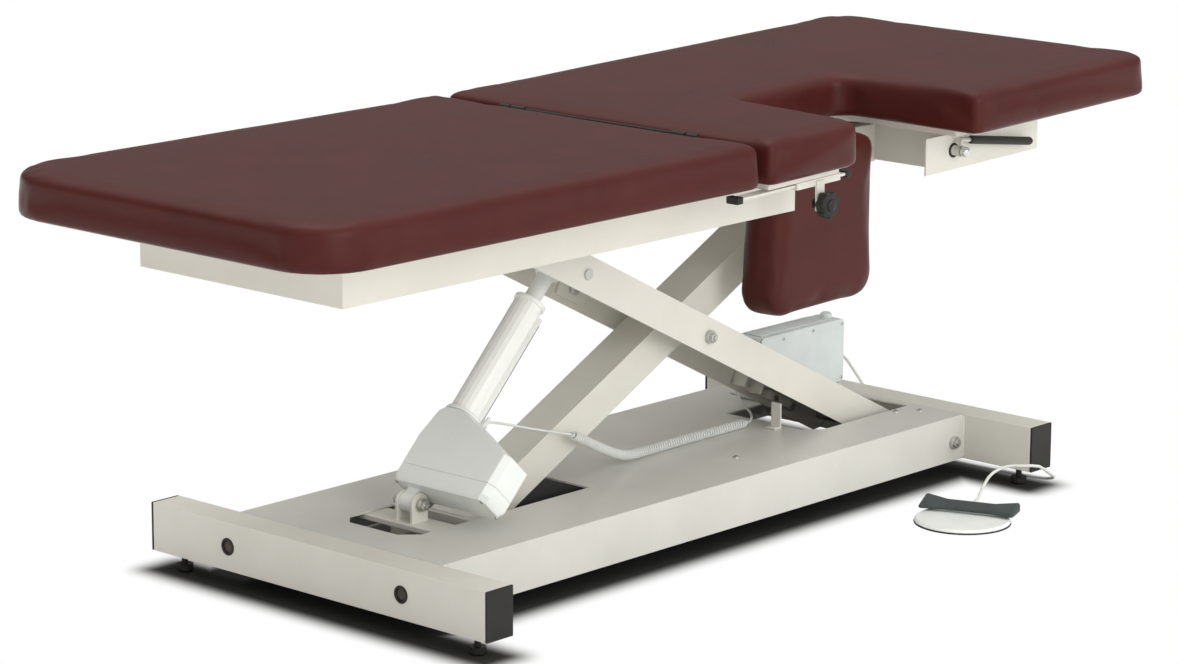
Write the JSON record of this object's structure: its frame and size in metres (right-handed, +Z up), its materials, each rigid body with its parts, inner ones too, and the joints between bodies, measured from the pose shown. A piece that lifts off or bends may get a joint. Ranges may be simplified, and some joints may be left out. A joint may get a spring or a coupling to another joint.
{
  "type": "power lift imaging table",
  "caption": "Motor-lifted imaging table: padded top with a tilting back section, a drop window in one side, a scissor lift on a low base, and a foot pedal.",
  "frame": {"origin": "centre of the whole object's outline on the floor, the pedal included", "axes": "+X from the foot end to the head end, +Y away from the drop window's side, +Z up"},
  "size_m": [1.932, 0.8163, 0.6888],
  "materials": {
    "black_plastic": "satin",
    "board": "painted white",
    "chromed": "polished",
    "cord": "satin white",
    "painted": "satin cream enamel",
    "rocker": "matt slate",
    "vinyl": "satin maroon vinyl, upholstered",
    "white_plastic": "fine satin",
    "zinc": "zinc-plated"
  },
  "bodies": {
    "base": {"foot_crossbar": "painted", "head_crossbar": "painted", "foot_cap_near": "black_plastic", "foot_cap_far": "black_plastic", "head_cap_near": "black_plastic", "head_cap_far": "black_plastic", "foot_levelling_foot_near": "black_plastic", "foot_levelling_foot_far": "black_plastic", "head_levelling_foot_near": "black_plastic", "head_levelling_foot_far": "black_plastic", "deck": "painted", "lower_pivot_shaft": "zinc", "base_track": "painted", "actuator_clevis": "painted", "clevis_pin": "zinc", "cord_post": "painted", "control_box": "white_plastic", "control_box_cover": "white_plastic", "control_box_plugs": "black_plastic", "pedal_base": "white_plastic", "curly_cord": "cord", "pedal_cord": "cord", "pedal_cord_coil": "cord", "pedal_cord_rise": "cord"},
    "outer_arm_body": {"outer_arm": "painted", "centre_pivot": "zinc", "rod_end_pin": "zinc", "upper_axle": "zinc"},
    "upper_roller_near_body": {"upper_roller_near": "black_plastic"},
    "upper_roller_far_body": {"upper_roller_far": "black_plastic"},
    "inner_arm_body": {"inner_arm": "painted", "lower_axle": "zinc"},
    "lower_roller_near_body": {"lower_roller_near": "black_plastic"},
    "lower_roller_far_body": {"lower_roller_far": "black_plastic"},
    "upper_frame": {"top_frame": "painted", "head_box": "painted", "top_pivot": "zinc", "frame_track": "painted", "strut_cylinder": "black_plastic", "foot_board": "board", "foot_cushion": "vinyl", "seam_hinge_pin": "black_plastic"},
    "actuator_body": {"motor_housing": "white_plastic", "motor_cover": "white_plastic", "actuator_tube": "white_plastic"},
    "actuator_rod_body": {"actuator_rod": "white_plastic"},
    "backrest": {"back_board": "board", "head_cushion": "vinyl", "back_lever_plate": "zinc", "seam_hinge_leaf": "black_plastic", "window_hinge": "zinc", "bar_guide": "painted"},
    "strut_rod_body": {"strut_rod": "chromed"},
    "window_panel": {"window_board": "board", "window_cushion": "vinyl"},
    "support_bar_body": {"support_bar": "painted"},
    "lock_knob_body": {"lock_knob": "black_plastic"},
    "release_lever_body": {"release_lever": "zinc", "release_grip": "black_plastic"},
    "pedal_rocker_body": {"pedal_rocker": "rocker"}
  },
  "joints": [
    {"name": "lift", "type": "hinge", "parent": "base", "child": "outer_arm_body", "pos_m": [0.6022, 0.056, 0.062], "axis": [0, 1, 0], "range_deg": [-2, 10.7]},
    {"name": "arm_crossing", "type": "hinge", "parent": "outer_arm_body", "child": "inner_arm_body", "pos_m": [0.13645, 0.056, 0.29727], "axis": [0, 1, 0], "range_deg": [-21.4, 4]},
    {"name": "frame_pivot", "type": "hinge", "parent": "inner_arm_body", "child": "upper_frame", "pos_m": [0.6022, 0.056, 0.53254], "axis": [0, 1, 0], "range_deg": [-2, 10.7]},
    {"name": "upper_roller_near_spin", "type": "hinge", "parent": "outer_arm_body", "child": "upper_roller_near_body", "pos_m": [-0.3293, -0.033, 0.53254], "axis": [0, 1, 0], "continuous": true},
    {"name": "upper_roller_far_spin", "type": "hinge", "parent": "outer_arm_body", "child": "upper_roller_far_body", "pos_m": [-0.3293, 0.145, 0.53254], "axis": [0, 1, 0], "continuous": true},
    {"name": "lower_roller_near_spin", "type": "hinge", "parent": "inner_arm_body", "child": "lower_roller_near_body", "pos_m": [-0.3293, -0.033, 0.062], "axis": [0, 1, 0], "continuous": true},
    {"name": "lower_roller_far_spin", "type": "hinge", "parent": "inner_arm_body", "child": "lower_roller_far_body", "pos_m": [-0.3293, 0.145, 0.062], "axis": [0, 1, 0], "continuous": true},
    {"name": "actuator_tilt", "type": "hinge", "parent": "base", "child": "actuator_body", "pos_m": [-0.4548, 0.056, 0.13], "axis": [0, -1, 0], "range_deg": [-0.68, 3.64]},
    {"name": "actuator_stroke", "type": "slide", "parent": "actuator_body", "child": "actuator_rod_body", "axis": [0.6993, 0, 0.7148], "range_m": [-0.02862, 0.15313]},
    {"name": "backrest_tilt", "type": "hinge", "parent": "upper_frame", "child": "backrest", "pos_m": [-0.0452, 0.056, 0.65524], "axis": [0, -1, 0], "range_deg": [-1.4, 73.6]},
    {"name": "strut_stroke", "type": "slide", "parent": "upper_frame", "child": "strut_rod_body", "axis": [1, 0, 0], "range_m": [-0.00309, 0.1625]},
    {"name": "window_swing", "type": "hinge", "parent": "backrest", "child": "window_panel", "pos_m": [0.3468, -0.01, 0.59456], "axis": [-0.9997, 0, -0.0244], "range_deg": [0, 90]},
    {"name": "support_bar_slide", "type": "slide", "parent": "backrest", "child": "support_bar_body", "axis": [0.9997, 0, 0.0244], "range_m": [0, 0.12]},
    {"name": "lock_knob_turn", "type": "hinge", "parent": "backrest", "child": "lock_knob_body", "pos_m": [0.11291, -0.2605, 0.54627], "axis": [0, 1, 0], "continuous": true},
    {"name": "release_pull", "type": "hinge", "parent": "upper_frame", "child": "release_lever_body", "pos_m": [0.5862, -0.167, 0.55464], "axis": [0, -1, 0], "range_deg": [0, 11], "stiffness_Nm_per_rad": 3, "springref_deg": -11.46},
    {"name": "pedal_rock", "type": "hinge", "parent": "base", "child": "pedal_rocker_body", "pos_m": [0.43203, -0.31869, 0.0102], "axis": [-0.342, 0.9397, 0], "range_deg": [-3.5, 3.5], "stiffness_Nm_per_rad": 4}
  ],
  "couplings": [
    {"joint": "arm_crossing", "follows": "lift", "ratio": -2},
    {"joint": "frame_pivot", "follows": "lift", "ratio": 1},
    {"joint": "actuator_tilt", "follows": "lift", "ratio": 0.34},
    {"joint": "actuator_stroke", "follows": "lift", "m_per_rad": 0.82},
    {"joint": "strut_stroke", "follows": "backrest_tilt", "m_per_rad": 0.1265}
  ]
}
